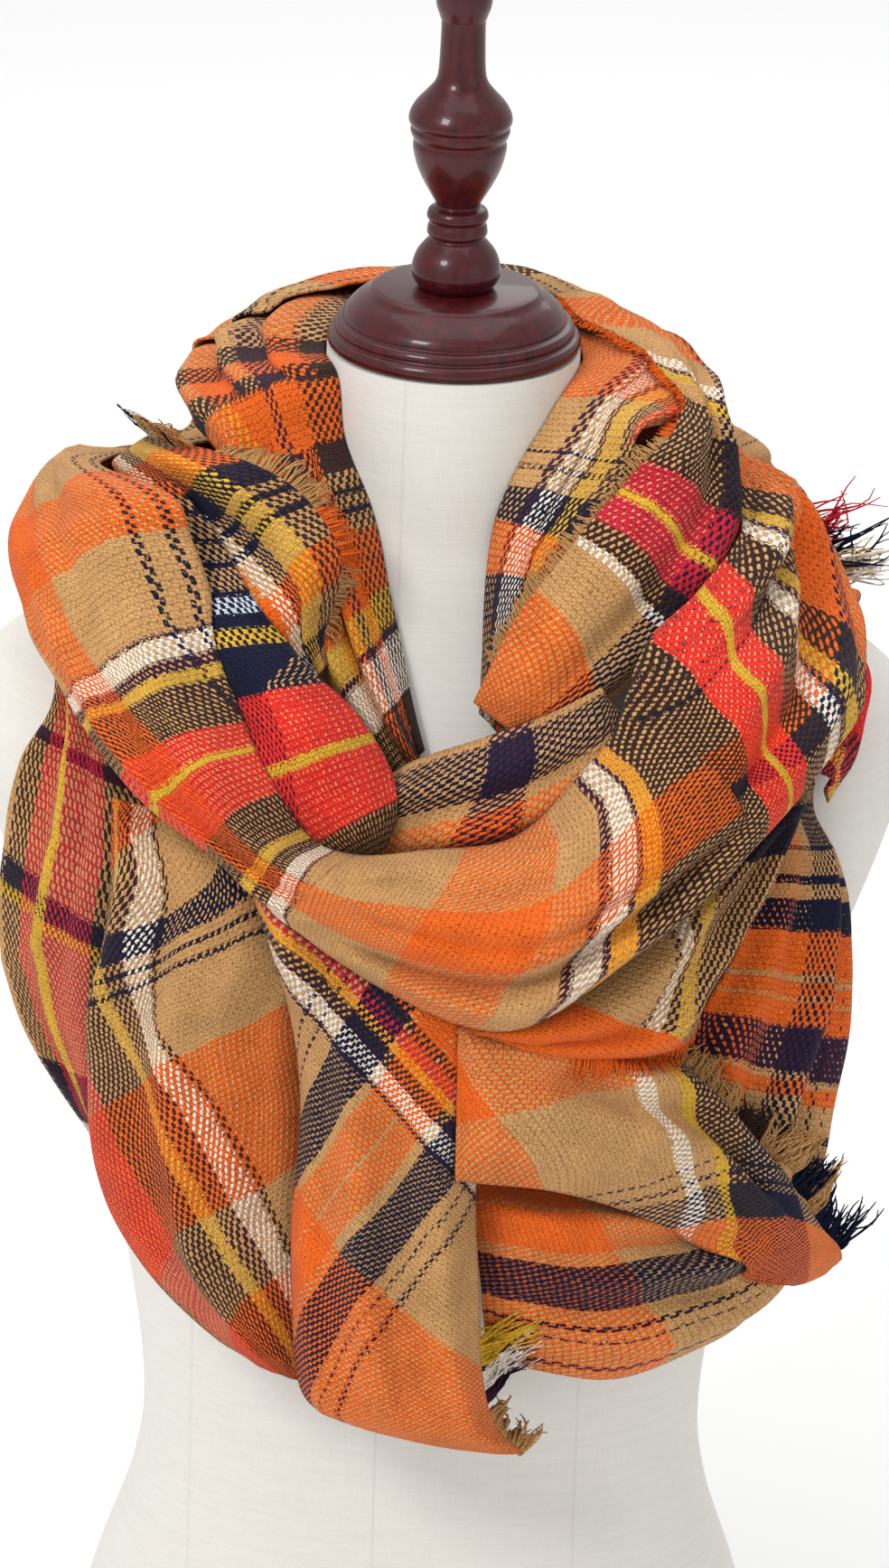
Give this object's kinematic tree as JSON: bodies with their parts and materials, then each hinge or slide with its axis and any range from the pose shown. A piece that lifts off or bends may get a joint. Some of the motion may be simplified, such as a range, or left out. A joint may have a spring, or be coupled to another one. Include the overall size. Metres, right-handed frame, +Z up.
{
  "type": "blanket scarf on a tabletop dress form",
  "caption": "Large fringed plaid blanket scarf wound around the neck of a limbless linen dress form with a turned wood neck cap and finial.",
  "frame": {"origin": "on the neck's axis, in the plane of the form's flat underside", "axes": "+Z up along the neck's axis, the front of the form faces -Y, +X is to the right seen from the front"},
  "size_m": [0.4106, 0.3735, 0.838],
  "materials": {
    "form_linen": "off-white fine linen stretched over a firm form",
    "turned_wood": "dark mahogany, polished",
    "scarf_weave": "soft loosely woven plaid in orange, tan, red, navy, mustard and cream, lightly brushed",
    "fringe_yarn": "short loose yarn ends in the plaid's colours"
  },
  "bodies": {
    "root": {"form_torso": "form_linen", "neck_cap": "turned_wood", "finial": "turned_wood", "neck_left": "scarf_weave", "neck_back": "scarf_weave", "neck_right": "scarf_weave", "check_layer": "scarf_weave", "collar_back": "scarf_weave", "collar_right": "scarf_weave", "upper_band": "scarf_weave", "outer_fall": "scarf_weave", "lower_back": "scarf_weave", "right_fall": "scarf_weave", "left_fall": "scarf_weave", "tail": "scarf_weave", "corner_flap": "scarf_weave", "under_band": "scarf_weave", "shoulder_layer": "scarf_weave", "inner_roll": "scarf_weave", "back_swag_left": "scarf_weave", "left_roll": "scarf_weave", "front_swag": "scarf_weave", "right_roll": "scarf_weave", "back_swag_right": "scarf_weave", "check_tuft": "fringe_yarn", "check_fringe": "fringe_yarn", "collar_fringe": "fringe_yarn", "tail_tuft": "fringe_yarn", "tail_fringe": "fringe_yarn", "flap_fringe": "fringe_yarn", "band_fringe": "fringe_yarn", "shoulder_tuft": "fringe_yarn"}
  },
  "joints": []
}
